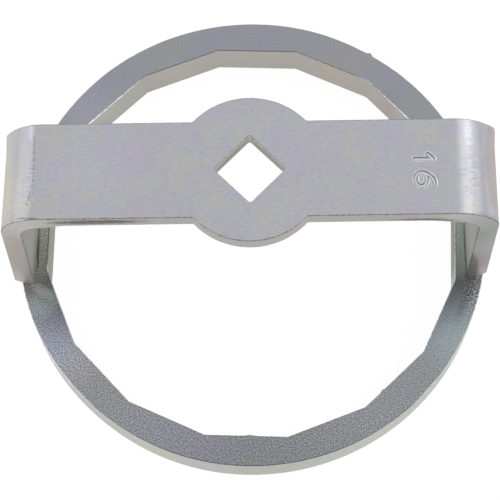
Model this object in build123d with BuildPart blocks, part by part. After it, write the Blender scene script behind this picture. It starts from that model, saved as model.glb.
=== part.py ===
from build123d import *
from math import cos, isclose, radians, tan
import os

# Cap wrench for oil filters: a ring with sixteen flats inside, a bridge bent from
# flat strap that stands on the ring, and a weld under the outside of each foot.
# Millimetres, +Z up. The origin is the centre of the ring's underside, and +X runs
# along the bridge.

# Ring
flat_count = 16
across_flats = 111.5
ring_diameter = 128.0
ring_height = 12.0
ring_turn = -2.25  # degrees that the flats stand turned against the bridge
flat_corner_radius = 0.8
ring_edge_break = 0.4

# Bridge
strap_width = 25.0
strap_thickness = 5.0
bridge_height = 64.5  # its top face above the ring's underside
shoulder_reach = 61.9  # axis to the sharp corner that each outer bend replaces
left_lean = 2.1  # degrees that each leg spreads towards its foot
right_lean = 1.7
outer_bend_radius = 11.5
inner_bend_radius = 5.5
skin_edge_radius = 0.5
blank_length = 160.0  # the flat outline reaches past both feet

# Boss and drive hole in the middle of the bridge
boss_diameter = 38.0
boss_blend_radius = 1.0
drive_square = 12.8  # half-inch square drive with its usual clearance
drive_corner_radius = 0.8

# Feet and welds
foot_land = 2.5  # flat strip of the foot that rests on the ring
foot_bevel = 3.0  # height of the bevel that takes the weld
weld_length = 18.0
weld_crown = 0.9  # how far the bead stands out from the foot
weld_toe_drop = 2.4  # how far it reaches down the ring's outer wall
weld_end_radius = 2.5

ring_radius = ring_diameter / 2


def leg_outer(height, lean):
    """Distance from the axis to a leg's outer face at a height."""
    return shoulder_reach + (bridge_height - height) * tan(radians(lean))


def leg_inner(height, lean):
    """Distance from the axis to a leg's inner face at a height."""
    return leg_outer(height, lean) - strap_thickness / cos(radians(lean))


def leg_profile(side, lean):
    """Corners of one leg in the XZ plane, from its outer bend round the foot to its inner bend."""
    underside = bridge_height - strap_thickness
    return [
        (side * leg_outer(bridge_height, lean), bridge_height),
        (side * leg_outer(ring_height + foot_bevel, lean), ring_height + foot_bevel),
        (side * (leg_inner(ring_height, lean) + foot_land), ring_height),
        (side * leg_inner(ring_height, lean), ring_height),
        (side * leg_inner(underside, lean), underside),
    ]


# Ring: round outside, sixteen flats inside, with broken edges
with BuildPart() as ring:
    with BuildSketch():
        Circle(ring_radius)
        with BuildSketch(mode=Mode.SUBTRACT):
            half_turn = 180 / flat_count
            RegularPolygon(across_flats / 2, flat_count, major_radius=False, rotation=half_turn + ring_turn)
            fillet(vertices(), flat_corner_radius)
    extrude(amount=ring_height)
    end_faces = ring.faces().filter_by(Axis.Z)
    chamfer(end_faces.edges(), ring_edge_break)
ring.part.label = "ring"

# Bridge: the strap's bent profile, cut to the outline of the flat blank
with BuildPart() as bridge:
    with BuildSketch(Plane.XZ):
        with BuildLine():
            Polyline(leg_profile(-1, left_lean) + leg_profile(1, right_lean)[::-1], close=True)
        make_face()
        bend_corners = vertices().group_by(Axis.Y)
        fillet(bend_corners[-1], outer_bend_radius)
        fillet(bend_corners[-2], inner_bend_radius)
    extrude(amount=boss_diameter / 2, both=True)
    with BuildSketch():
        Rectangle(blank_length, strap_width)
        Circle(boss_diameter / 2)
        boss_junctions = vertices().filter_by_position(Axis.X, -boss_diameter / 2, boss_diameter / 2)
        fillet(boss_junctions, boss_blend_radius)
        with BuildSketch(mode=Mode.SUBTRACT):
            Rectangle(drive_square, drive_square, rotation=45)
            fillet(vertices(), drive_corner_radius)
    extrude(amount=bridge_height, mode=Mode.INTERSECT)
    # The blank was punched from above, so the edges of its upper skin are rounded
    top_face = bridge.faces().sort_by(Axis.Z)[-1]
    round_faces = bridge.faces().filter_by(GeomType.CYLINDER)
    bend_faces = round_faces.filter_by(lambda face: isclose(face.radius, outer_bend_radius))
    leg_faces = [bridge.faces().sort_by(Axis.X)[0], bridge.faces().sort_by(Axis.X)[-1]]
    skin_faces = [top_face] + bend_faces + leg_faces
    skin_edges = ShapeList([edge for face in skin_faces for edge in face.outer_wire().edges()])
    fillet(skin_edges.filter_by(Axis.Y, reverse=True), skin_edge_radius)
bridge.part.label = "bridge"


def build_weld(side, lean):
    """Bead that fills the bevel outside one foot and laps down the ring's outer wall."""
    root = (side * (leg_inner(ring_height, lean) + foot_land), ring_height)
    face_edge = (side * leg_outer(ring_height + foot_bevel, lean), ring_height + foot_bevel)
    crown_reach = max(leg_outer(ring_height, lean), ring_radius) + weld_crown
    crown = (side * crown_reach, ring_height + weld_crown / 2)
    toe = (side * ring_radius, ring_height - weld_toe_drop)
    behind_wall = (root[0], toe[1])
    with BuildPart() as weld:
        with BuildSketch(Plane.XZ):
            with BuildLine():
                Polyline(toe, behind_wall, root, face_edge)
                ThreePointArc(face_edge, crown, toe)
            make_face()
        extrude(amount=weld_length / 2, both=True)
        with BuildSketch():
            with Locations((root[0], 0)):
                bead_depth = crown_reach - abs(root[0])
                RectangleRounded(2 * bead_depth, weld_length, weld_end_radius)
        extrude(amount=bridge_height, mode=Mode.INTERSECT)
        add(ring.part, mode=Mode.SUBTRACT)
        add(bridge.part, mode=Mode.SUBTRACT)
    return weld.part


weld_left = build_weld(-1, left_lean)
weld_left.label = "weld_left"
weld_right = build_weld(1, right_lean)
weld_right.label = "weld_right"

os.makedirs("parts", exist_ok=True)
export_step(ring.part, "parts/ring.step")
export_step(bridge.part, "parts/bridge.step")
export_step(weld_left, "parts/weld_left.step")
export_step(weld_right, "parts/weld_right.step")
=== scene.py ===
from math import atan2, cos, degrees, exp, hypot, pi, radians, sin, tan

import bmesh
import bpy
from mathutils import Matrix, Vector, noise


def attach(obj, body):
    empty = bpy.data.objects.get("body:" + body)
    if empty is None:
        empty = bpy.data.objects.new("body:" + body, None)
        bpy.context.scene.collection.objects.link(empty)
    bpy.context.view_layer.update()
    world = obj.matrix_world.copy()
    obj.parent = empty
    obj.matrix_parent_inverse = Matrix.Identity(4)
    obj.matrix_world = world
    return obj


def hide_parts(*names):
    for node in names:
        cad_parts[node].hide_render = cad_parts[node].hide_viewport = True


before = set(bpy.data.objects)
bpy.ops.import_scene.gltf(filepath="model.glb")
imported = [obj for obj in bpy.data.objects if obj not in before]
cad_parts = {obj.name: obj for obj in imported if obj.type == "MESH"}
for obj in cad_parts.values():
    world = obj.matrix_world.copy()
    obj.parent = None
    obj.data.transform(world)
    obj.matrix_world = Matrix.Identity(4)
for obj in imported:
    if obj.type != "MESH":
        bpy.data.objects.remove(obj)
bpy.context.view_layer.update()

mm = 0.001
scene = bpy.context.scene
scene.view_settings.view_transform = "Standard"


def startMesh():
    # rim marks the faces of broken edges, and stampHighlightShade the painted highlights and painted shadows
    # of a stamped stroke
    bm = bmesh.new()
    bm.faces.layers.float.new("rim")
    bm.verts.layers.float.new("stampHighlightShade")
    return bm


def dressPiece(name, bm, material, nodes, smoothAngle=32):
    # turns a finished bmesh into a piece that stands for its CAD nodes
    bmesh.ops.remove_doubles(bm, verts=bm.verts, dist=1e-6)
    bmesh.ops.recalc_face_normals(bm, faces=bm.faces)
    mesh = bpy.data.meshes.new(name)
    bm.to_mesh(mesh)
    bm.free()
    mesh.materials.append(material)
    mesh.polygons.foreach_set("use_smooth", [True] * len(mesh.polygons))
    mesh.set_sharp_from_angle(angle=radians(smoothAngle))
    piece = bpy.data.objects.new(name, mesh)
    scene.collection.objects.link(piece)
    evenShading = piece.modifiers.new("evenShading", "WEIGHTED_NORMAL")
    evenShading.keep_sharp = True
    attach(piece, "root")
    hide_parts(*nodes)
    print(f"{name}: {len(mesh.polygons)} faces")


def bevelEdges(bm, edges, offset, segments):
    made = bmesh.ops.bevel(bm, geom=edges, offset=offset, segments=segments, profile=0.5,
                           affect="EDGES", material=-1, clamp_overlap=True)
    rim = bm.faces.layers.float["rim"]
    for face in made["faces"]:
        face[rim] = 1


def sliceFaces(bm, faces, point, normal):
    # cuts a loop of edges through some faces
    geom = set(faces)
    for face in faces:
        geom.update(face.edges)
        geom.update(face.verts)
    bmesh.ops.bisect_plane(bm, geom=list(geom), dist=1e-7, plane_co=point, plane_no=normal)


def bell(distance, width):
    # 1 at no distance, and next to nothing beyond twice the width
    return exp(-(distance / width) ** 2)


def ease(value):
    # a smooth step from 0 to 1
    value = min(max(value, 0), 1)
    return value * value * (3 - 2 * value)


ringShape = {
    "flats": 16,
    "acrossFlats": 0.1115,
    # how far each corner between two flats stands out, in hundredths of a millimetre, from +X leftwards
    "cornerDrift": (0, -5, -13, -18, -19, -14, -7, 0, -8, -22, 0, 8, 10, 0, -20, -8),
    "diameter": 0.128,
    "height": 0.012,
    "turn": -2.25,  # degrees that the flats stand turned against the bridge
    "cornerRadius": 0.0008,
    "stepsPerFlat": 90,
    "edgeBreak": 0.0002,
    "cutNibs": (  # marks where the cutter entered: angle, inner or outer wall, height, width each way
        (57.7, "outer", 0.00062, 0.0008, 0.0006),
        (-51.9, "inner", 0.00030, 0.0005, 0.0005),
        (-91.2, "inner", 0.00025, 0.0012, 0.0012),
    ),
    "outerDips": ((229, 0.00026, 0.021), (57, 0.00024, 0.0125)),  # angle, depth, width each way
    "nibFade": (0.55, 0.45),  # a nib's share of its height at the ring's foot, and its gain up to the top
    "wallRipple": 0.00003,
    "rippleScale": (900, 60),  # of the cutter's marks, around the wall and up it
}


def buildRing(shape):
    bm = startMesh()
    steps = shape["flats"] * shape["stepsPerFlat"]
    apothem = shape["acrossFlats"] / 2
    bmesh.ops.create_circle(bm, segments=steps, radius=shape["diameter"] / 2)
    socket = bmesh.ops.create_circle(bm, segments=shape["flats"], radius=apothem / cos(pi / shape["flats"]))
    halfTurn = 180 / shape["flats"]
    bmesh.ops.rotate(bm, verts=socket["verts"], cent=(0, 0, 0),
                     matrix=Matrix.Rotation(radians(halfTurn + shape["turn"]), 3, "Z"))
    for vert in socket["verts"]:
        corner = round((degrees(atan2(vert.co.y, vert.co.x)) - halfTurn - shape["turn"]) / (2 * halfTurn))
        vert.co += vert.co.normalized() * shape["cornerDrift"][corner] * mm / 100
    cornerSteps = 2
    bmesh.ops.bevel(bm, geom=socket["verts"], offset=shape["cornerRadius"] * tan(pi / shape["flats"]),
                    segments=cornerSteps, profile=0.5, affect="VERTICES", material=-1)
    inner = [edge for edge in bm.edges if edge.verts[0].co.xy.length < shape["diameter"] / 2 - mm]
    flats = [edge for edge in inner if edge.calc_length() > apothem / 10]
    bmesh.ops.subdivide_edges(bm, edges=flats, cuts=shape["stepsPerFlat"] - cornerSteps - 1)
    bmesh.ops.bridge_loops(bm, edges=bm.edges[:])
    lifted = bmesh.ops.extrude_face_region(bm, geom=bm.faces[:])
    topVerts = [item for item in lifted["geom"] if isinstance(item, bmesh.types.BMVert)]
    bmesh.ops.translate(bm, verts=topVerts, vec=(0, 0, shape["height"]))
    bmesh.ops.recalc_face_normals(bm, faces=bm.faces)
    rims = [edge for edge in bm.edges if len(edge.link_faces) == 2 and edge.calc_face_angle() > radians(60)]
    bevelEdges(bm, rims, shape["edgeBreak"], 1)
    roughenRing(bm, shape)
    return bm


def arcPast(angle, centre, reach):
    # length of arc that an angle lies leftwards of a centre, at a distance from the axis
    return radians((angle - centre + 180) % 360 - 180) * reach


def roughenRing(bm, shape):
    # cutter marks down both walls, a nib where each cut began, and shallow dips in the outer wall
    middle = (shape["diameter"] + shape["acrossFlats"]) / 4
    around, upward = shape["rippleScale"]
    atFoot, gain = shape["nibFade"]
    for vert in bm.verts:
        reach = vert.co.xy.length
        outward = Vector((vert.co.x, vert.co.y, 0)) / reach
        outer = reach > middle
        angle = degrees(atan2(vert.co.y, vert.co.x))
        spot = Vector((vert.co.x * around, vert.co.y * around, vert.co.z * upward))
        push = noise.noise(spot) * shape["wallRipple"]
        fade = atFoot + gain * vert.co.z / shape["height"]
        for nibAngle, wall, height, before, after in shape["cutNibs"]:
            if outer == (wall == "outer"):
                along = arcPast(angle, nibAngle, reach)
                push += height * fade * bell(along, before if along > 0 else after) * (1 if outer else -1)
        if outer:
            for dipAngle, depth, width in shape["outerDips"]:
                push -= depth * bell(arcPast(angle, dipAngle, reach), width)
        vert.co += outward * push


bridgeShape = {
    "width": 0.0253,
    "thickness": 0.005,
    "height": 0.0645,
    "shoulder": 0.0619,  # axis to the sharp corner that each bend replaces
    "bends": (
        # reach is where a bend begins, creaseTurn how far the strap turns over the press's edge before its
        # smooth bend, fullness how far the bend stands out past a round one around fullTurn, flare how much
        # further it does so at its far edge, and row and peel how finely and deeply its skin is uneven
        {"side": -1, "lean": 2.1, "reach": 0.0537, "creaseRadius": 0.0012, "creaseTurn": 13,
         "fullness": 0, "flare": 0.0003, "fullTurn": 73, "footBevel": 0.003,
         "row": 0.0005, "peel": 0.000020},
        {"side": 1, "lean": 1.7, "reach": 0.05073, "creaseRadius": 0, "creaseTurn": 0,
         "fullness": 0.00025, "flare": 0.0004, "fullTurn": 68, "footBevel": 0.0038,
         "row": 0.0010, "peel": 0.000003},
    ),
    "fullSpread": 13,
    "flareStart": 0.0075,  # distance behind the middle of the strap
    "flareWidth": 0.005,
    "bendRadius": 0.0115,
    "kneeRadius": 0.0055,  # inside of each bend
    "stationTurn": 3.5,
    "stationStep": 0.001,
    "rowMargin": 0.003,  # reach of a bend's rows of skin past it, and step of the stations down its leg
    "askew": 2.2,  # degrees that the left bend was pressed askew
    "footAskew": 3.2,  # degrees that its foot stands askew
    "askewStart": 0.044,  # distance from the axis
    "askewWidth": 0.0095,
    "blankReach": 0.120,
    "blankPerChord": 1.1,  # length of blank that goes into a bend, against the bend's chord
    "bossDiameter": 0.038,
    "bossBlend": 0.001,
    "driveSquare": 0.0128,
    "driveCorner": 0.0008,
    "rollOver": 0.00022,
    "rollSegments": 3,
    "holeEdge": 0.0001,
    "burrSide": 0.0002,
    "rimRipple": 0.00003,
    "rimScale": 700,
    "edgeBulge": 0.0005,  # the inside of a bend spreads
    "bulgeWidth": 0.004,
    "underEase": 0.012,  # length over which the underside comes level with the start of the bend
    "peelLimits": (-0.0015, 0.050, 0.0006),  # start against the bend's, lowest level, even strip at each edge
    "peelScales": (900, 2000),
    "peelFine": 0.7,  # strength of the finer grain against the coarser
    "peelFar": (0.35, 0.008),  # strength at the far edge, and how far behind the middle it is reached
    "footHeight": 0.012,
    "footLand": 0.0025,
}

stampShape = {
    "one": ((40.9, 1.95), (45.5, 1.95), (44.2, 3.2)),  # millimetres; the digits' tops point along +X
    "sixBowl": ((42.3, -3.4), (1.4, 1.8)),  # centre and radii
    "sixTail": (45.6, -4.8),
    "halfWidth": 0.00048,
    "wallWidth": 0.00015,
    "depth": 0.00045,
    "lip": 0.00006,
    "lipGrain": 3000,
    # the stroke's painted shadow at its edge and painted highlight along its bottom
    "shadow": 0.4,  # how dark the stroke's edge is, and how bright its bottom
    "shine": 0.8,
    "shineWidth": 0.00018,
    "patch": (0.0395, 0.0470, -0.0066, 0.0046),
    "cell": 0.0001,
}


def legFace(shape, bend, level):
    # distance from the axis to a leg's outer face
    return shape["shoulder"] + (shape["height"] - level) * tan(radians(bend["lean"]))


def footRoot(shape, bend):
    # where the land under a foot ends and the bevel for the weld begins
    inner = legFace(shape, bend, shape["footHeight"]) - shape["thickness"] / cos(radians(bend["lean"]))
    return inner + shape["footLand"]


def bendPaths(shape, bend):
    # the skin's path and the underside's path through a bend, each as a function of the turn
    whole = radians(90 - bend["lean"])
    crease = radians(bend["creaseTurn"])
    start = bend["reach"]
    tight = bend["creaseRadius"]
    slope = tan(radians(bend["lean"]))
    top = shape["height"]
    enter = start + tight * sin(crease)
    sink = tight * (1 - cos(crease))
    radius = (shape["shoulder"] + slope * sink - enter) / (
        sin(whole) - sin(crease) - slope * (cos(crease) - cos(whole)))

    def skin(turn, flared=0):
        if turn < crease:
            return Vector((start + tight * sin(turn), 0, top - tight * (1 - cos(turn))))
        full = bend["fullness"] + flared * bend["flare"]
        full *= bell(degrees(turn) - bend["fullTurn"], shape["fullSpread"])
        return Vector((enter + radius * (sin(turn) - sin(crease)) + full * sin(turn), 0,
                       top - sink - radius * (cos(crease) - cos(turn)) + full * cos(turn)))

    knee = shape["kneeRadius"]
    under = top - shape["thickness"]
    inside = shape["shoulder"] - shape["thickness"] / cos(radians(bend["lean"]))
    inside += shape["thickness"] * slope
    kneeStart = inside - knee * tan(whole / 2)

    def belly(turn):
        return Vector((kneeStart + knee * sin(turn), 0, under - knee * (1 - cos(turn))))

    return whole, skin, belly


def bendLength(shape, bend):
    # how much of the blank goes into a bend
    whole, skin, belly = bendPaths(shape, bend)
    return (skin(whole) - skin(0)).length * shape["blankPerChord"]


def bendStrap(bm, shape, bend):
    # bends one end of the flat blank down
    side = bend["side"]
    start = bend["reach"]
    whole, skin, belly = bendPaths(shape, bend)
    length = bendLength(shape, bend)
    down = Vector((sin(radians(bend["lean"])), 0, -cos(radians(bend["lean"]))))
    undersideShift = belly(0).x - start
    for vert in bm.verts:
        if vert.co.x * side <= 0:
            continue
        along = vert.co.x * side - start
        depth = (shape["height"] - vert.co.z) / shape["thickness"]
        straight = max(along - length, 0)
        if along <= 0:
            spread = bell(along, shape["bulgeWidth"])
            shift = undersideShift * depth * max(0, 1 + along / shape["underEase"])
            place = Vector((start + along + shift, 0, vert.co.z))
        else:
            spread = bell(straight, shape["bulgeWidth"])
            turn = min(along / length, 1) * whole
            flared = ease((vert.co.y - shape["flareStart"]) / shape["flareWidth"])
            place = skin(turn, flared).lerp(belly(turn), depth) + down * straight
        bulge = 1 + shape["edgeBulge"] / (shape["width"] / 2) * depth * spread
        vert.co = Vector((place.x * side, vert.co.y * bulge, place.z))


def twistLeft(verts, shape, toeDrop=0):
    # the left bend was pressed a little askew, and its leg twists on towards the foot
    kneeLevel = shape["height"] - shape["bendRadius"]
    for vert in verts:
        fall = min(max((kneeLevel - vert.co.z) / (kneeLevel - shape["footHeight"]), 0), 1)
        turn = shape["askew"] + (shape["footAskew"] - shape["askew"]) * fall
        # a bead's twist dies out down to its toe, which lies on the ring's wall
        below = max(shape["footHeight"] - vert.co.z, 0)
        hold = 1 - below / toeDrop if toeDrop else 1
        onset = ease((-vert.co.x - shape["askewStart"]) / shape["askewWidth"])
        vert.co.x += vert.co.y * tan(radians(turn)) * onset * hold


def sketchQuarter(bm, shape):
    # a quarter of the blank's outline, with the boss, its blend and the drive hole
    boss = shape["bossDiameter"] / 2
    blend = shape["bossBlend"]
    half = shape["width"] / 2
    corner = shape["driveCorner"]
    blendCentre = Vector((((boss + blend) ** 2 - (half + blend) ** 2) ** 0.5, half + blend, 0))
    sweep = atan2(blendCentre.x, blendCentre.y)

    def turnFrom(vert, centre, angle, steps):
        spun = bmesh.ops.spin(bm, geom=[vert], cent=centre, axis=(0, 0, 1), angle=angle, steps=steps)
        return next(item for item in spun["geom_last"] if isinstance(item, bmesh.types.BMVert))

    bossTop = bm.verts.new((0, boss, 0))
    blendIn = turnFrom(bossTop, (0, 0, 0), -sweep, 24)
    blendOut = turnFrom(blendIn, blendCentre, sweep, 6)
    endCorner = bm.verts.new((shape["blankReach"], half, 0))
    endMiddle = bm.verts.new((shape["blankReach"], 0, 0))
    cornerCentre = shape["driveSquare"] / 2 ** 0.5 - corner * 2 ** 0.5
    holeSide = bm.verts.new((cornerCentre + corner, 0, 0))
    holeSideEnd = turnFrom(holeSide, (cornerCentre, 0, 0), pi / 4, 4)
    holeTop = bm.verts.new((0, cornerCentre + corner, 0))
    holeTopEnd = turnFrom(holeTop, (0, cornerCentre, 0), -pi / 4, 4)
    for pair in ((blendOut, endCorner), (endCorner, endMiddle), (endMiddle, holeSide),
                 (holeSideEnd, holeTopEnd), (holeTop, bossTop)):
        bm.edges.new(pair)
    bmesh.ops.contextual_create(bm, geom=bm.edges[:])


def buildBridge(shape):
    bm = startMesh()
    sketchQuarter(bm, shape)
    for axis in ("X", "Y"):
        bmesh.ops.mirror(bm, geom=bm.verts[:] + bm.edges[:] + bm.faces[:], matrix=Matrix.Identity(4),
                         merge_dist=1e-6, axis=axis)
    bmesh.ops.recalc_face_normals(bm, faces=bm.faces)
    bmesh.ops.translate(bm, verts=bm.verts, vec=(0, 0, shape["height"] - shape["thickness"]))
    lifted = bmesh.ops.extrude_face_region(bm, geom=bm.faces[:])
    topVerts = [item for item in lifted["geom"] if isinstance(item, bmesh.types.BMVert)]
    bmesh.ops.translate(bm, verts=topVerts, vec=(0, 0, shape["thickness"]))
    bmesh.ops.recalc_face_normals(bm, faces=bm.faces)
    roundOutline(bm, shape)
    for bend in shape["bends"]:
        addStations(bm, shape, bend)
    pressStamp(bm, shape, stampShape)
    for bend in shape["bends"]:
        bendStrap(bm, shape, bend)
        roughenBend(bm, shape, bend)
    roughenRims(bm, shape)
    cutFeet(bm, shape)
    twistLeft(bm.verts, shape)
    return bm


def roundOutline(bm, shape):
    top = shape["height"]

    def rimEdges(level, test):
        return [edge for edge in bm.edges
                if all(abs(vert.co.z - level) < 1e-6 for vert in edge.verts)
                and edge.calc_face_angle(0) > radians(60) and test(edge)]

    def nearHole(edge):
        return all(vert.co.xy.length < shape["driveSquare"] for vert in edge.verts)

    outline = rimEdges(top, lambda edge: not nearHole(edge))
    bevelEdges(bm, outline, shape["rollOver"], shape["rollSegments"])
    bevelEdges(bm, rimEdges(top, nearHole), shape["holeEdge"], 2)
    bevelEdges(bm, rimEdges(top - shape["thickness"], lambda edge: True), shape["burrSide"], 2)


def addStations(bm, shape, bend):
    # edge loops across the strap for its bend, and rows along the bend for its stretched skin
    side = bend["side"]
    start = bend["reach"]
    whole = 90 - bend["lean"]
    length = bendLength(shape, bend)
    crease = bend["creaseTurn"]
    count = round((whole - crease) / shape["stationTurn"])
    turns = [crease + (whole - crease) * i / count for i in range(count + 1)]
    if crease:
        turns += [0, crease / 3, crease * 2 / 3]
    margin = shape["rowMargin"]
    reaches = [start + length * turn / whole for turn in turns]
    reaches += [start + length + margin * i for i in range(1, 5)]
    reach = shape["bossDiameter"] / 2 + mm
    while reach < start - 0.4 * mm:
        reaches.append(reach)
        reach += shape["stationStep"]
    for reach in reaches:
        sliceFaces(bm, bm.faces[:], (side * reach, 0, 0), (1, 0, 0))
    for row in range(1, round(shape["width"] / bend["row"])):
        skin = [face for face in bm.faces if face.normal.z > 0.5
                and start - margin < side * face.calc_center_median().x < start + length + margin]
        sliceFaces(bm, skin, (0, row * bend["row"] - shape["width"] / 2, 0), (0, 1, 0))


def stampStrokes(stamp):
    # the digits 1 and 6, for the ring's sixteen flats
    (centreX, centreY), (bowlX, bowlY) = stamp["sixBowl"]
    tailX, tailY = stamp["sixTail"]

    def arc(start, radii, turns):
        return [(start[0] + radii[0] * cos(radians(turn)), start[1] + radii[1] * sin(radians(turn)))
                for turn in turns]

    bowl = arc((centreX, centreY), (bowlX, bowlY), range(0, 361, 20))
    tail = arc((centreX, tailY), (tailX - centreX, centreY + bowlY - tailY), range(90, -1, -10))
    return stamp["one"], bowl, tail


def distanceToStrokes(x, y, strokes):
    best = 1e9
    for stroke in strokes:
        for (ax, ay), (bx, by) in zip(stroke, stroke[1:]):
            dx, dy = bx - ax, by - ay
            t = min(max(((x - ax) * dx + (y - ay) * dy) / (dx * dx + dy * dy), 0), 1)
            best = min(best, hypot(x - ax - t * dx, y - ay - t * dy))
    return best


def pressStamp(bm, shape, stamp):
    # cuts a fine grid into the skin, presses the two digits into it, and paints a highlight and a shadow
    # along their strokes
    left, right, near, far = stamp["patch"]
    top = shape["height"]

    def skinFaces():
        return [face for face in bm.faces
                if face.normal.z > 0.9 and abs(face.calc_center_median().z - top) < 1e-6]

    def patchFaces():
        return [face for face in skinFaces() if left < face.calc_center_median().x < right
                and near < face.calc_center_median().y < far]

    for point, normal in (((left, 0, 0), (1, 0, 0)), ((right, 0, 0), (1, 0, 0)),
                          ((0, near, 0), (0, 1, 0)), ((0, far, 0), (0, 1, 0))):
        sliceFaces(bm, skinFaces(), point, normal)
    bmesh.ops.dissolve_faces(bm, faces=patchFaces())
    columns = round((right - left) / stamp["cell"])
    rows = round((far - near) / stamp["cell"])
    for i in range(1, columns):
        sliceFaces(bm, patchFaces(), (left + (right - left) * i / columns, 0, 0), (1, 0, 0))
    for i in range(1, rows):
        sliceFaces(bm, patchFaces(), (0, near + (far - near) * i / rows, 0), (0, 1, 0))
    strokes = stampStrokes(stamp)
    half = stamp["halfWidth"]
    stampHighlightShade = bm.verts.layers.float["stampHighlightShade"]
    for vert in {vert for face in patchFaces() for vert in face.verts}:
        gap = distanceToStrokes(vert.co.x / mm, vert.co.y / mm, strokes) * mm
        groove = ease((half - gap) / stamp["wallWidth"] + 0.5)
        lip = bell(gap - half - stamp["wallWidth"], stamp["wallWidth"])
        vert.co.z += lip * stamp["lip"] - groove * stamp["depth"]
        shadow = bell(gap - half + stamp["wallWidth"] / 2, stamp["wallWidth"])
        uneven = 1 + noise.noise(vert.co * stamp["lipGrain"])
        shine = stamp["shine"] * bell(gap, stamp["shineWidth"])
        # painted highlight on the lip and along the stroke's bottom, painted shadow at its edge
        vert[stampHighlightShade] = lip * uneven - stamp["shadow"] * shadow + shine


def roughenBend(bm, shape, bend):
    # the stretched skin of a bend is faintly uneven, like orange peel, and less so behind the middle
    bm.normal_update()
    side = bend["side"]
    before, lowest, strip = shape["peelLimits"]
    coarse, fine = shape["peelScales"]
    farShare, rise = shape["peelFar"]
    for vert in bm.verts:
        past = vert.co.x * side - bend["reach"]
        onSkin = vert.normal.z >= -0.05 and vert.normal.x * side >= -0.02
        if past < before or vert.co.z < lowest or not onSkin:
            continue
        if abs(vert.co.y) > shape["width"] / 2 - strip:
            continue
        grain = noise.noise(vert.co * coarse) + shape["peelFine"] * noise.noise(vert.co * fine)
        nearPart = farShare + (1 - farShare) * ease((rise - vert.co.y) / rise)
        vert.co += vert.normal * grain * bend["peel"] * nearPart


def roughenRims(bm, shape):
    # the blanked outline is slightly ragged
    rim = bm.faces.layers.float["rim"]
    verts = {vert for face in bm.faces if face[rim] > 0.5 for vert in face.verts}
    for vert in verts:
        if vert.co.xy.length > shape["driveSquare"]:
            vert.co.y += noise.noise(vert.co * shape["rimScale"]) * shape["rimRipple"]


def cutFeet(bm, shape):
    # the feet end flat on the ring, bevelled outside for the weld
    level = shape["footHeight"]

    def slab(point, normal):
        bmesh.ops.bisect_plane(bm, geom=bm.verts[:] + bm.edges[:] + bm.faces[:], dist=1e-7,
                               plane_co=point, plane_no=normal, clear_outer=True)
        bmesh.ops.holes_fill(bm, edges=[edge for edge in bm.edges if edge.is_boundary], sides=0)

    slab((0, 0, level), (0, 0, -1))
    highest = level + max(bend["footBevel"] for bend in shape["bends"])
    for bend in shape["bends"]:
        side = bend["side"]
        bevelTop = level + bend["footBevel"]
        root = Vector((side * footRoot(shape, bend), 0, level))
        run = Vector((side * legFace(shape, bend, bevelTop), 0, bevelTop)) - root
        slab(root, Vector((side * run.z, 0, -abs(run.x))))
    sharp = [edge for edge in bm.edges if len(edge.link_faces) == 2 and edge.calc_face_angle() > radians(35)
             and max(vert.co.z for vert in edge.verts) < highest + 1e-4]
    bevelEdges(bm, sharp, shape["burrSide"], 2)


weldShape = {
    "length": 0.018,
    "crown": 0.0009,
    "toeDrop": 0.0024,
    "rows": 120,
    "columns": 18,
    "rippleStep": 0.00095,
    "ripple": 0.00016,
    "rippleBow": 0.0064,
    "rippleRound": 0.7,
    "wander": 0.001,
    "wanderScale": (3, 5),  # along a bead, and from one bead to the other
    "endStart": 0.78,  # where the bead's ends begin to fall, from its middle at 0 to its end at 1
    "endSink": 0.35,
    "rootGap": 0.0002,
    "rootTaper": 0.9,
}


def buildWeld(bend, shape, bridge, ring):
    # a bead laid in short overlapping ripples, from the bevelled foot down to the ring's wall
    side = bend["side"]
    level = bridge["footHeight"]
    wall = ring["diameter"] / 2
    bevelTop = level + bend["footBevel"]
    upper = Vector((legFace(bridge, bend, bevelTop), 0, bevelTop))
    lower = Vector((wall, 0, level - shape["toeDrop"]))
    crownReach = max(legFace(bridge, bend, level), wall) + shape["crown"]
    crown = Vector((crownReach, 0, level + shape["crown"] / 2))
    root = Vector((footRoot(bridge, bend) + shape["rootGap"], 0, level - shape["rootGap"]))
    alongScale, sideScale = shape["wanderScale"]
    bm = startMesh()
    bmesh.ops.create_grid(bm, x_segments=shape["columns"], y_segments=shape["rows"], size=1)
    for vert in bm.verts:
        across = (vert.co.x + 1) / 2
        along = vert.co.y
        swell = across * (1 - across)
        pastStart = max(0, abs(along) - shape["endStart"]) / (1 - shape["endStart"])
        endFade = max(0, 1 - pastStart ** 2) ** 0.5
        bow = upper.lerp(crown, across).lerp(crown.lerp(lower, across), across)
        chord = upper.lerp(lower, across)
        phase = along * shape["length"] / 2 - shape["rippleBow"] * swell
        saw = (phase / shape["rippleStep"]) % 1
        lift = shape["ripple"] * (saw * (1 - saw) * 4) ** shape["rippleRound"] * 4 * swell
        lift += noise.noise(Vector((along * alongScale, side * sideScale, 1))) * shape["wander"] * swell
        outward = (bow - chord).normalized() if swell > 0.001 else Vector((1, 0, 0))
        place = chord.lerp(root, shape["endSink"]).lerp(bow + outward * lift, endFade)
        vert.co = Vector((place.x * side, along * shape["length"] / 2, place.z))
    skirt = bmesh.ops.extrude_edge_only(bm, edges=[edge for edge in bm.edges if edge.is_boundary])
    for item in skirt["geom"]:
        if isinstance(item, bmesh.types.BMVert):
            item.co = Vector((root.x * side, item.co.y * shape["rootTaper"], root.z))
    bmesh.ops.remove_doubles(bm, verts=bm.verts, dist=2e-5)
    bmesh.ops.holes_fill(bm, edges=[edge for edge in bm.edges if edge.is_boundary], sides=0)
    if side < 0:
        twistLeft(bm.verts, bridge, shape["toeDrop"])
    return bm


def feed(tree, socket, value):
    # value is another node's socket or a plain value
    if isinstance(value, bpy.types.NodeSocket):
        tree.links.new(value, socket)
    else:
        socket.default_value = value


def addNode(tree, kind, values=None, **settings):
    node = tree.nodes.new(kind)
    for key, value in settings.items():
        setattr(node, key, value)
    for key, value in (values or {}).items():
        feed(tree, node.inputs[key], value)
    return node


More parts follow.
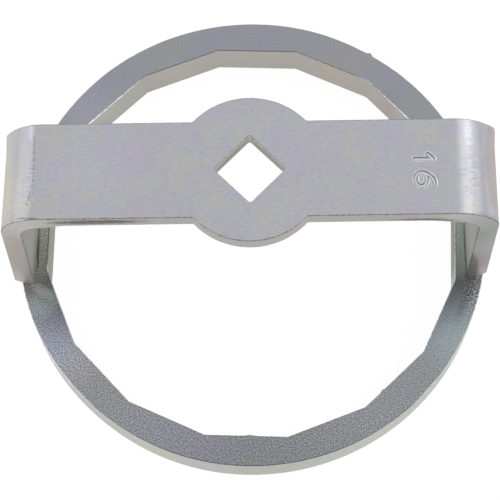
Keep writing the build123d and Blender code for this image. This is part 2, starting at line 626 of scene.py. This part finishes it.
def calculate(tree, operation, *operands):
    return addNode(tree, "ShaderNodeMath", dict(enumerate(operands)), operation=operation).outputs[0]


def calculateVector(tree, operation, *operands, output="Vector"):
    node = addNode(tree, "ShaderNodeVectorMath", dict(enumerate(operands)), operation=operation)
    return node.outputs[output]


def mapRange(tree, value, source, target=(0, 1), curve="LINEAR"):
    # takes a value from one range to another, each a pair of ends
    ends = {"Value": value, "From Min": source[0], "From Max": source[1],
            "To Min": target[0], "To Max": target[1]}
    return addNode(tree, "ShaderNodeMapRange", ends, interpolation_type=curve).outputs["Result"]


def emptyTree(owner):
    owner.use_nodes = True
    owner.node_tree.nodes.clear()
    return owner.node_tree


def makeGroup(name, inputs, outputs):
    group = bpy.data.node_groups.new(name, "ShaderNodeTree")
    for socketName, kind, default in inputs:
        socket = group.interface.new_socket(socketName, in_out="INPUT", socket_type=kind)
        socket.default_value = default
    for socketName, kind in outputs:
        group.interface.new_socket(socketName, in_out="OUTPUT", socket_type=kind)
    return group, group.nodes.new("NodeGroupInput"), group.nodes.new("NodeGroupOutput")


def placeGroup(tree, group, values):
    return addNode(tree, "ShaderNodeGroup", values, node_tree=group)


def mixColour(tree, factor, first, second, blend="MIX"):
    node = addNode(tree, "ShaderNodeMix", data_type="RGBA", blend_type=blend)
    for key, value in (("Factor", factor), ("A", first), ("B", second)):
        feed(tree, next(item for item in node.inputs if item.name == key and item.enabled), value)
    return next(item for item in node.outputs if item.enabled)


def setRamp(node, stops):
    ramp = node.color_ramp.elements
    while len(ramp) < len(stops):
        ramp.new(0.5)
    for element, (position, colour) in zip(ramp, stops):
        element.position = position
        element.color = (*colour, 1)


chromateBands = (  # colours that the clear film over the zinc runs through as it thickens
    (0.27, (0.80, 0.62, 0.66)), (0.38, (0.64, 0.61, 0.80)), (0.47, (0.58, 0.68, 0.76)),
    (0.55, (0.60, 0.76, 0.66)), (0.64, (0.78, 0.75, 0.54)), (0.75, (0.78, 0.62, 0.72)),
)


def buildTintGroup():
    # faint rainbow patches of the clear chromate over zinc
    group, given, out = makeGroup("chromateTint", (
        ("Base", "NodeSocketColor", (0.6, 0.6, 0.62, 1)),
        ("Patch Scale", "NodeSocketFloat", 60.0),
        ("Strength", "NodeSocketFloat", 0.3),
    ), (("Color", "NodeSocketColor"),))
    coords = addNode(group, "ShaderNodeTexCoord")
    patches = addNode(group, "ShaderNodeTexNoise", {
        "Vector": coords.outputs["Object"], "Scale": given.outputs["Patch Scale"],
        "Detail": 4.0, "Roughness": 0.6, "Distortion": 0.6})
    bands = addNode(group, "ShaderNodeValToRGB", {"Fac": patches.outputs["Fac"]})
    bands.color_ramp.interpolation = "EASE"
    setRamp(bands, chromateBands)
    tinted = mixColour(group, given.outputs["Strength"], given.outputs["Base"], bands.outputs["Color"])
    feed(group, out.inputs["Color"], tinted)
    return group


def buildGrainGroup():
    # fine speckle of the metal under the plating, as a colour factor and a height
    group, given, out = makeGroup("metalGrain", (
        ("Grain Scale", "NodeSocketFloat", 3000.0),
        ("Stretch", "NodeSocketVector", (1, 1, 1)),
        ("Contrast", "NodeSocketFloat", 0.2),
    ), (("Shade", "NodeSocketFloat"), ("Height", "NodeSocketFloat")))
    coords = addNode(group, "ShaderNodeTexCoord")
    scaled = calculateVector(group, "MULTIPLY", coords.outputs["Object"], given.outputs["Stretch"])
    speck = addNode(group, "ShaderNodeTexNoise", {
        "Vector": scaled, "Scale": given.outputs["Grain Scale"], "Detail": 2.0, "Roughness": 0.6})
    centred = calculate(group, "SUBTRACT", speck.outputs["Fac"], 0.5)
    shade = calculate(group, "MULTIPLY_ADD", centred, given.outputs["Contrast"], 1.0)
    darkest = 0.05
    feed(group, out.inputs["Shade"], calculate(group, "MAXIMUM", shade, darkest))
    feed(group, out.inputs["Height"], speck.outputs["Fac"])
    return group


def buildSpotGroup():
    # 1 inside a soft ragged spot at a place on the object, 0 outside
    group, given, out = makeGroup("placeSpot", (
        ("Centre", "NodeSocketVector", (0, 0, 0)),
        ("Size", "NodeSocketVector", (1, 1, 1)),
        ("Turn", "NodeSocketFloat", 0.0),
        ("Softness", "NodeSocketFloat", 0.4),
        ("Ragged", "NodeSocketFloat", 0.2),
    ), (("Mask", "NodeSocketFloat"),))
    coords = addNode(group, "ShaderNodeTexCoord")
    away = calculateVector(group, "SUBTRACT", coords.outputs["Object"], given.outputs["Centre"])
    turned = addNode(group, "ShaderNodeVectorRotate", {"Vector": away, "Angle": given.outputs["Turn"]},
                     rotation_type="Z_AXIS")
    sized = calculateVector(group, "DIVIDE", turned.outputs[0], given.outputs["Size"])
    reach = calculateVector(group, "LENGTH", sized, output="Value")
    ragged = addNode(group, "ShaderNodeTexNoise", {
        "Vector": coords.outputs["Object"], "Scale": 700.0, "Detail": 3.0, "Roughness": 0.65})
    centred = calculate(group, "SUBTRACT", ragged.outputs["Fac"], 0.5)
    uneven = calculate(group, "MULTIPLY_ADD", centred, given.outputs["Ragged"], reach)
    inner = calculate(group, "SUBTRACT", 1.0, given.outputs["Softness"])
    feed(group, out.inputs["Mask"], mapRange(group, uneven, (inner, 1), (1, 0), "SMOOTHSTEP"))
    return group


zincFinish = {
    # contrast is the grain's where it is faintest and where it is coarsest, roughness the metal's in the
    # grain's low and high places, wallRoughness what cut walls add to it, and inside the painted shade, with
    # a tint, on faces that look at the axis
    "bridge": {
        # the bridge's rimEdge is dark, a painted shade outline along its broken edges
        "skin": (0.60, 0.58, 0.625, 1), "cutEdge": (0.66, 0.61, 0.575, 1), "rimEdge": (0.38, 0.37, 0.37, 1),
        "inside": (0.557, 0.585, 0.53, 1),
        "tint": 0.22, "patch": 150.0, "grainScale": 1800.0, "stretch": (0.4, 1, 1),
        "contrast": (0.34, 0.34), "rimContrast": 2.6, "roughness": (0.27, 0.33), "wallRoughness": 0.20,
        "bump": 0.06,
    },
    "ring": {
        "skin": (0.37, 0.37, 0.40, 1), "cutEdge": (0.60, 0.61, 0.54, 1), "rimEdge": (0.68, 0.68, 0.69, 1),
        "inside": (0.87, 0.80, 0.79, 1),
        "tint": 0.14, "patch": 40.0, "grainScale": 3000.0, "stretch": (1, 1, 1),
        "contrast": (0.6, 3.9), "rimContrast": 2.0, "roughness": (0.15, 0.22), "wallRoughness": 0.15,
        "bump": 0.22,
    },
    "weld": {
        "skin": (0.48, 0.47, 0.47, 1), "cutEdge": (0.48, 0.47, 0.46, 1), "rimEdge": (0.48, 0.47, 0.46, 1),
        "inside": (1, 1, 1, 1),
        "tint": 0.25, "patch": 160.0, "grainScale": 2200.0, "stretch": (1, 1, 1),
        "contrast": (0.4, 0.4), "rimContrast": 0.4, "roughness": (0.30, 0.40), "wallRoughness": 0.0,
        "bump": 0.12,
    },
}

zincMarks = {
    # what the press, the welding and the plating left, such as stains, streaks and rough places, and painted
    # highlights and painted shade where the light falls
    "bridge": {
        # painted shade darkening the walls of the drive hole
        "holeWallShade": dict(centre=(0, 0, 0.0612), size=(0.0105, 0.0105, 0.0034), softness=0.3, ragged=0,
                          colour=(0.70, 0.69, 0.67)),
        # painted highlight: a bright streak near the far edge of the left crease
        "leftStreakHighlight": dict(centre=(-0.0546, 0.0105, 0.0640), size=(0.0009, 0.0032, 0.002), softness=0.7,
                           colour=(1.22, 1.22, 1.26)),
        # painted shade along the left crease, speckled, in two parts
        "leftCreaseShade": dict(centre=(-0.0537, 0.0045, 0.0644), size=(0.0004, 0.0085, 0.002), softness=0.7,
                           ragged=1.2, colour=(0.80, 0.78, 0.77), speckle=2.4),
        "leftPressShade": dict(centre=(-0.0545, -0.0060, 0.0644), size=(0.0004, 0.0060, 0.002), turn=14,
                          softness=0.9, ragged=1.0, colour=(0.84, 0.83, 0.82), speckle=2),
        "leftPeel": dict(centre=(-0.0546, -0.0030, 0.0640), size=(0.0020, 0.0100, 0.003), ragged=0.5,
                         colour=(1.02, 1.01, 1.01), speckle=1.3),
        # painted light: the left bend lighter and warmer, and below it the left leg's outer end lighter with
        # a cream tint
        "leftWarmLight": dict(centre=(-0.0585, -0.0060, 0.0600), size=(0.0050, 0.0080, 0.008), softness=0.8,
                         colour=(1.12, 1.08, 1.00)),
        "leftCreamLight": dict(centre=(-0.0615, 0.0020, 0.0575), size=(0.0030, 0.0160, 0.0060), softness=0.3,
                          ragged=0, colour=(1.07, 1.06, 0.92)),
        # painted shade: a dark dashed line along the near edge of the left bend
        "leftDashShade": dict(centre=(-0.0550, -0.0121, 0.0632), size=(0.0038, 0.00022, 0.004), turn=6,
                         softness=0.5, colour=(0.60, 0.58, 0.57), speckle=6),
        # painted light: the left part of the bar's top lighter
        "leftTopLight": dict(centre=(-0.0420, 0, 0.0645), size=(0.0200, 0.0220, 0.002), softness=1, ragged=0,
                        colour=(1.06, 1.05, 1.07)),
        # painted highlight: a bright stripe on the right bend, with fine streaky grain
        "rightStreakHighlight": dict(centre=(0.0548, 0.0095, 0.0640), size=(0.0020, 0.0070, 0.002), softness=0.8,
                            colour=(1.28, 1.28, 1.30), speckle=0.8, stretch=(0.1, 1, 1)),
        "rightStretch": dict(centre=(0.0550, -0.0020, 0.0640), size=(0.0035, 0.0120, 0.004), softness=0.6,
                             colour=(1, 1, 1), speckle=0.9, stretch=(0.12, 1, 1)),
        # painted shade: the right leg's outer end darker, with a pinkish tint
        "rightEndShade": dict(centre=(0.0612, 0.0020, 0.0575), size=(0.0034, 0.0160, 0.0065), softness=0.3,
                         ragged=0, colour=(0.90, 0.84, 0.79)),
        # painted shade on the bar's front face towards each leg, speckled
        "frontLeftShade": dict(centre=(-0.0385, -0.0127, 0.0622), size=(0.0150, 0.002, 0.0020), ragged=0.8,
                           colour=(0.40, 0.39, 0.36), speckle=1.0),
        "frontRightShade": dict(centre=(0.0440, -0.0127, 0.0606), size=(0.0110, 0.002, 0.0012), ragged=1.0,
                          colour=(0.55, 0.53, 0.51), speckle=1.5),
        "rightLegGreen": dict(centre=(0.0590, -0.0127, 0.050), size=(0.012, 0.002, 0.024), softness=1,
                              ragged=0, colour=(0.59, 0.66, 0.655)),
        "rightLegPink": dict(centre=(0.0610, -0.0127, 0.026), size=(0.009, 0.002, 0.018), softness=1,
                             ragged=0, colour=(0.71, 0.63, 0.73)),
        # painted shade darkening the right leg's front near its foot
        "rightFootShade": dict(centre=(0.0576, -0.0127, 0.0125), size=(0.0037, 0.002, 0.0225),
                              softness=0.25, ragged=0.1, colour=(0.58, 0.58, 0.56)),
        "leftLegPink": dict(centre=(-0.0600, -0.0127, 0.036), size=(0.007, 0.002, 0.028),
                            colour=(0.83, 0.78, 0.765)),
    },
    "ring": {
        "frontShade": dict(centre=(0.004, -0.0620, 0.012), size=(0.036, 0.020, 0.02), softness=1,
                           ragged=0, colour=(0.86, 0.86, 0.87)),
        "leftShine": dict(centre=(-0.0520, -0.0290, 0.012), size=(0.018, 0.018, 0.01), softness=1,
                          ragged=0, colour=(1.34, 1.37, 1.50)),
        "rightShine": dict(centre=(0.0535, -0.0270, 0.012), size=(0.015, 0.015, 0.01), softness=1,
                           ragged=0, colour=(1.31, 1.41, 1.46)),
        "farLeftBlue": dict(centre=(-0.0460, 0.0370, 0.012), size=(0.014, 0.014, 0.01), softness=1,
                            ragged=0, colour=(1.08, 1.12, 1.13)),
        "rightTeal": dict(centre=(0.0600, 0.0050, 0.012), size=(0.030, 0.070, 0.02), softness=1, ragged=0,
                          colour=(0.95, 1.0, 1.0)),
        "rightFootScale": dict(centre=(0.0598, -0.0165, 0.012), size=(0.0042, 0.0090, 0.003), turn=10,
                               softness=1, ragged=1.2, colour=(1.10, 1.10, 1.08), speckle=5.5),
        "rightScaleEdge": dict(centre=(0.0572, -0.0200, 0.012), size=(0.0016, 0.0075, 0.003), turn=24,
                               softness=0.8, ragged=0.7, colour=(0.78, 0.75, 0.76), speckle=0.8),
        "rightSeam": dict(centre=(0.0584, -0.0040, 0.012), size=(0.0004, 0.0090, 0.002), softness=0.4,
                          colour=(0.50, 0.49, 0.46), speckle=1),
        "rightOlive": dict(centre=(0.0570, -0.0010, 0.012), size=(0.0045, 0.0140, 0.003), softness=0.5,
                           colour=(1.62, 1.64, 1.50), speckle=0.8),
        "leftSeam": dict(centre=(-0.0587, -0.0020, 0.012), size=(0.0004, 0.0090, 0.002), softness=0.4,
                         colour=(0.42, 0.39, 0.34), speckle=1),
        "leftOlive": dict(centre=(-0.0580, -0.0010, 0.012), size=(0.0060, 0.0145, 0.003), softness=0.5,
                          colour=(1.46, 1.44, 1.25), speckle=1.8),
        # painted shade: the ring's inner edge next to each leg, under the bar, darker
        "leftInnerEdgeShade": dict(centre=(-0.0558, 0.0005, 0.012), size=(0.0005, 0.0130, 0.002), turn=2.25,
                              softness=0.4, ragged=0.5, colour=(0.55, 0.55, 0.48), speckle=1.2),
        "rightInnerEdgeShade": dict(centre=(0.0558, -0.0020, 0.012), size=(0.0005, 0.0140, 0.002), turn=2.25,
                               softness=0.4, ragged=0.3, colour=(0.75, 0.77, 0.74)),
        "leftWallShade": dict(centre=(-0.0550, 0, 0.005), size=(0.0012, 0.0140, 0.020), turn=2.25,
                              softness=0.2, ragged=0, colour=(0.56, 0.57, 0.55)),
        "rightWallShade": dict(centre=(0.0550, 0, 0.005), size=(0.0012, 0.0150, 0.020), turn=2.25,
                               softness=0.2, ragged=0, colour=(0.47, 0.49, 0.49)),
        "leftLight": dict(centre=(-0.0568, -0.0150, 0.012), size=(0.0052, 0.0020, 0.003), turn=31,
                          softness=0.9, colour=(1.95, 2.02, 1.90)),
        "leftTeal": dict(centre=(-0.0570, -0.0180, 0.012), size=(0.0065, 0.0060, 0.003), softness=0.8,
                         colour=(1.48, 1.64, 1.62), speckle=0.8),
        "farLeftPink": dict(centre=(-0.0205, 0.0515, 0.006), size=(0.0070, 0.0040, 0.020), softness=1,
                            colour=(1.07, 1.02, 1.01)),
        "farRightPink": dict(centre=(0.0245, 0.0500, 0.006), size=(0.0110, 0.0070, 0.020), softness=1,
                             colour=(1.09, 0.97, 0.97)),
        "rightWallPink": dict(centre=(0.0390, 0.0395, 0.006), size=(0.0060, 0.0060, 0.020), softness=1,
                              colour=(0.98, 0.88, 0.96)),
    },
    "weld": {},
}

zincRules = {
    "wallLook": (0.25, 0.6),  # how far a face looks up or down, from a cut wall to the skin
    # span over which faces looking at the axis take the painted shade
    "insideShadeSpan": (-0.035, -0.020),  # how squarely a face looks at the axis, times its distance from it
    "coarseWay": (0.3, 1, 0),  # the grain gets coarser against this way, from 8 mm along it to 40 mm back
    "coarseSpan": (0.008, -0.040),
    "wallGrain": 0.3,  # strength of the grain on cut walls, against the skin
    "chatterScale": 1500.0,
    # where the ring's broken edges are painted darker, as painted shade
    "endRimShadeSpan": (0.0455, 0.0485),  # distance in front of the axis or behind it
    "endRimShadeLevel": 0.4,
    "markGrain": 2000.0,
    # colours of the stamp's painted highlight and painted shadow
    "bright": (0.97, 0.97, 0.97, 1),
    "dark": (0.10, 0.10, 0.11, 1),
    "heights": (0.3, 0.7),  # of the grain, from its glossiest to its dullest
    "bumpDepth": 0.0002,
}


def buildZinc(name, finish, marks, rules, groups):
    material = bpy.data.materials.new(name)
    tree = emptyTree(material)
    shader = addNode(tree, "ShaderNodeBsdfPrincipled", {"Metallic": 1.0})
    addNode(tree, "ShaderNodeOutputMaterial", {"Surface": shader.outputs["BSDF"]})
    coords = addNode(tree, "ShaderNodeTexCoord")
    position = coords.outputs["Object"]
    normal = coords.outputs["Normal"]

    # cut walls stand upright, the rolled skin lies flat or bends
    facing = calculate(tree, "ABSOLUTE", addNode(tree, "ShaderNodeSeparateXYZ", {0: normal}).outputs["Z"])
    wall = mapRange(tree, facing, rules["wallLook"], (1, 0), "SMOOTHSTEP")
    # faces that look at the middle of the wrench are painted darker and tinted by the inside colour, as
    # painted shade
    fromAxis = calculateVector(tree, "MULTIPLY", position, (1, 1, 0))
    sight = calculateVector(tree, "DOT_PRODUCT", normal, fromAxis, output="Value")
    insideShade = mapRange(tree, sight, rules["insideShadeSpan"], (1, 0), "SMOOTHSTEP")
    base = mixColour(tree, wall, finish["skin"], finish["cutEdge"])
    base = mixColour(tree, insideShade, base, mixColour(tree, 1.0, base, finish["inside"], "MULTIPLY"))
    tint = placeGroup(tree, groups["tint"], {
        "Base": base, "Patch Scale": finish["patch"], "Strength": finish["tint"]})

    # the grain is coarser to the front left, where the surface was worked less, and faint on cut walls
    forward = calculateVector(tree, "DOT_PRODUCT", position, rules["coarseWay"], output="Value")
    coarse = mapRange(tree, forward, rules["coarseSpan"], finish["contrast"])
    onWalls = mapRange(tree, wall, (0, 1), (1, rules["wallGrain"]))
    grain = placeGroup(tree, groups["grain"], {
        "Grain Scale": finish["grainScale"], "Stretch": finish["stretch"],
        "Contrast": calculate(tree, "MULTIPLY", coarse, onWalls)})
    shaded = mixColour(tree, 1.0, tint.outputs["Color"], grain.outputs["Shade"], "MULTIPLY")

    # broken edges have their own colour, which on the bridge is a dark outline of painted shade, and they are
    # painted darker at the near and far ends of the ring, as painted shade
    rim = addNode(tree, "ShaderNodeAttribute", attribute_type="GEOMETRY", attribute_name="rim")
    chatter = placeGroup(tree, groups["grain"], {
        "Grain Scale": rules["chatterScale"], "Contrast": finish["rimContrast"]})
    rimColour = mixColour(tree, 1.0, finish["rimEdge"], chatter.outputs["Shade"], "MULTIPLY")
    depth = calculate(tree, "ABSOLUTE", addNode(tree, "ShaderNodeSeparateXYZ", {0: position}).outputs["Y"])
    endRimShade = mapRange(tree, depth, rules["endRimShadeSpan"], (1, rules["endRimShadeLevel"]))
    rimColour = mixColour(tree, 1.0, rimColour, endRimShade, "MULTIPLY")
    shaded = mixColour(tree, rim.outputs["Fac"], shaded, rimColour)

    # stains and streaks, and painted highlights and painted shade
    for mark in marks.values():
        patch = placeGroup(tree, groups["spot"], {
            "Centre": mark["centre"], "Size": mark["size"], "Turn": radians(mark.get("turn", 0)),
            "Softness": mark.get("softness", 0.6), "Ragged": mark.get("ragged", 0.3)})
        speck = placeGroup(tree, groups["grain"], {
            "Grain Scale": rules["markGrain"], "Stretch": mark.get("stretch", (1, 1, 1)),
            "Contrast": mark.get("speckle", 0.2)})
        stained = mixColour(tree, 1.0, shaded, (*mark["colour"], 1), "MULTIPLY")
        stained = mixColour(tree, 1.0, stained, speck.outputs["Shade"], "MULTIPLY")
        shaded = mixColour(tree, patch.outputs["Mask"], shaded, stained)
    # the stamp's painted highlights and painted shadows
    stampHighlightShade = addNode(tree, "ShaderNodeAttribute", attribute_type="GEOMETRY", attribute_name="stampHighlightShade")
    for strongest, colour in ((1, rules["bright"]), (-1, rules["dark"])):
        line = mapRange(tree, stampHighlightShade.outputs["Fac"], (0, strongest))
        shaded = mixColour(tree, line, shaded, colour)
    feed(tree, shader.inputs["Base Color"], shaded)

    gloss = mapRange(tree, grain.outputs["Height"], rules["heights"], finish["roughness"])
    roughness = calculate(tree, "MULTIPLY_ADD", wall, finish["wallRoughness"], gloss)
    feed(tree, shader.inputs["Roughness"], roughness)
    bump = addNode(tree, "ShaderNodeBump", {
        "Strength": finish["bump"], "Distance": rules["bumpDepth"], "Height": grain.outputs["Height"]})
    feed(tree, shader.inputs["Normal"], bump.outputs["Normal"])
    return material


floorLook = {
    "size": 6,
    "paint": (0.8, 0.8, 0.79, 1),
    "glow": 1.13,
    "seen": 0.82,  # how much of the floor is plain white to the camera, and in the metal
    "mirrored": 0.45,
}


def buildFloor(look):
    bm = bmesh.new()
    bmesh.ops.create_grid(bm, x_segments=2, y_segments=2, size=look["size"])
    mesh = bpy.data.meshes.new("floor")
    bm.to_mesh(mesh)
    bm.free()
    floor = bpy.data.objects.new("floor", mesh)
    scene.collection.objects.link(floor)
    material = bpy.data.materials.new("paleFloor")
    tree = emptyTree(material)
    paint = addNode(tree, "ShaderNodeBsdfDiffuse", {"Color": look["paint"]})
    glow = addNode(tree, "ShaderNodeEmission", {"Color": (1, 1, 1, 1), "Strength": look["glow"]})
    rays = addNode(tree, "ShaderNodeLightPath")
    mirrored = calculate(tree, "MAXIMUM", rays.outputs["Is Glossy Ray"],
                         rays.outputs["Is Transmission Ray"])
    direct = calculate(tree, "MULTIPLY", rays.outputs["Is Camera Ray"], look["seen"])
    white = calculate(tree, "MULTIPLY_ADD", mirrored, look["mirrored"], direct)
    blend = addNode(tree, "ShaderNodeMixShader", {0: white, 1: paint.outputs[0], 2: glow.outputs[0]})
    addNode(tree, "ShaderNodeOutputMaterial", {"Surface": blend.outputs[0]})
    mesh.materials.append(material)


skyLight = {
    # brightness of the sky from the front, at 0, to the back, at 1
    "stops": ((0.0, 0.45), (0.35, 0.60), (0.50, 0.60), (0.60, 0.65), (0.71, 0.76), (0.83, 0.62),
              (1.0, 0.42)),
    "colour": (0.98, 0.98, 1.0),
    "horizon": 0.9,  # how bright the sky is near the floor, against above
    "horizonSpan": (0.05, 0.45),
}


def buildSky(sky):
    world = bpy.data.worlds.new("studio")
    scene.world = world
    tree = emptyTree(world)
    coords = addNode(tree, "ShaderNodeTexCoord")
    split = addNode(tree, "ShaderNodeSeparateXYZ", {0: coords.outputs["Generated"]})
    ramp = addNode(tree, "ShaderNodeValToRGB", {"Fac": mapRange(tree, split.outputs["Y"], (-1, 1))})
    setRamp(ramp, [(position, tuple(level * part for part in sky["colour"]))
                   for position, level in sky["stops"]])
    low = mapRange(tree, split.outputs["Z"], sky["horizonSpan"], (sky["horizon"], 1), "SMOOTHSTEP")
    dimmed = mixColour(tree, 1.0, ramp.outputs["Color"], low, "MULTIPLY")
    rays = addNode(tree, "ShaderNodeLightPath")
    seen = mixColour(tree, rays.outputs["Is Camera Ray"], dimmed, (1, 1, 1, 1))
    background = addNode(tree, "ShaderNodeBackground", {"Color": seen, "Strength": 1.0})
    addNode(tree, "ShaderNodeOutputWorld", {"Surface": background.outputs[0]})


softBoxes = {
    # azimuth from +X, elevation, width, height, brightness, colour
    "rightHigh": (0, 53, 1.45, 0.52, 0.60, (1, 1, 1)),
    "rightLow": (0, 27, 1.45, 0.42, 0.30, (1, 1, 1)),
    "leftBroad": (180, 30, 1.45, 0.95, 0.27, (1, 0.96, 0.88)),
    "frontLeft": (-146, 18, 0.7, 0.35, 1.0, (1, 1, 1)),
    "frontRight": (-34, 18, 0.7, 0.35, 1.0, (1, 1, 1)),
}


def buildLights(boxes, distance=1.1, aim=Vector((0, 0, 0.03))):
    for name, (azimuth, elevation, width, height, level, colour) in boxes.items():
        light = bpy.data.lights.new(name, "AREA")
        light.shape = "RECTANGLE"
        light.size = width
        light.size_y = height
        light.color = colour
        light.energy = level * pi * width * height
        lamp = bpy.data.objects.new(name, light)
        scene.collection.objects.link(lamp)
        a, e = radians(azimuth), radians(elevation)
        outward = Vector((cos(a) * cos(e), sin(a) * cos(e), sin(e)))
        lamp.location = aim + outward * distance
        lamp.rotation_euler = outward.to_track_quat("Z", "Y").to_euler()


cameraView = {
    "location": (0.002692, -0.162947, 0.494037),
    "right": (0.999876, -0.011633, -0.010571),
    "up": (0.014359, 0.949599, 0.313140),
    "back": (0.006396, -0.313253, 0.949648),
    "lens": 133.31,
    "sensor": 36.0,
}


def buildCamera(view):
    data = bpy.data.cameras.new("camera")
    data.lens = view["lens"]
    data.sensor_width = view["sensor"]
    data.clip_start = 0.01
    data.clip_end = 20
    camera = bpy.data.objects.new("camera", data)
    scene.collection.objects.link(camera)
    turned = Matrix((view["right"], view["up"], view["back"])).transposed().to_4x4()
    camera.matrix_world = Matrix.Translation(view["location"]) @ turned
    scene.camera = camera


groups = {"tint": buildTintGroup(), "grain": buildGrainGroup(), "spot": buildSpotGroup()}
zinc = {part: buildZinc(part + "Zinc", finish, zincMarks[part], zincRules, groups)
        for part, finish in zincFinish.items()}
print("materials ready")

dressPiece("ringBody", buildRing(ringShape), zinc["ring"], ["ring"])
dressPiece("bridgeStrap", buildBridge(bridgeShape), zinc["bridge"], ["bridge"])
beads = (("weldBeadLeft", "weld_left"), ("weldBeadRight", "weld_right"))
for bend, (name, node) in zip(bridgeShape["bends"], beads):
    bead = buildWeld(bend, weldShape, bridgeShape, ringShape)
    dressPiece(name, bead, zinc["weld"], [node], 60)
print("pieces ready")

buildFloor(floorLook)
buildSky(skyLight)
buildLights(softBoxes)
buildCamera(cameraView)
print("stage ready")
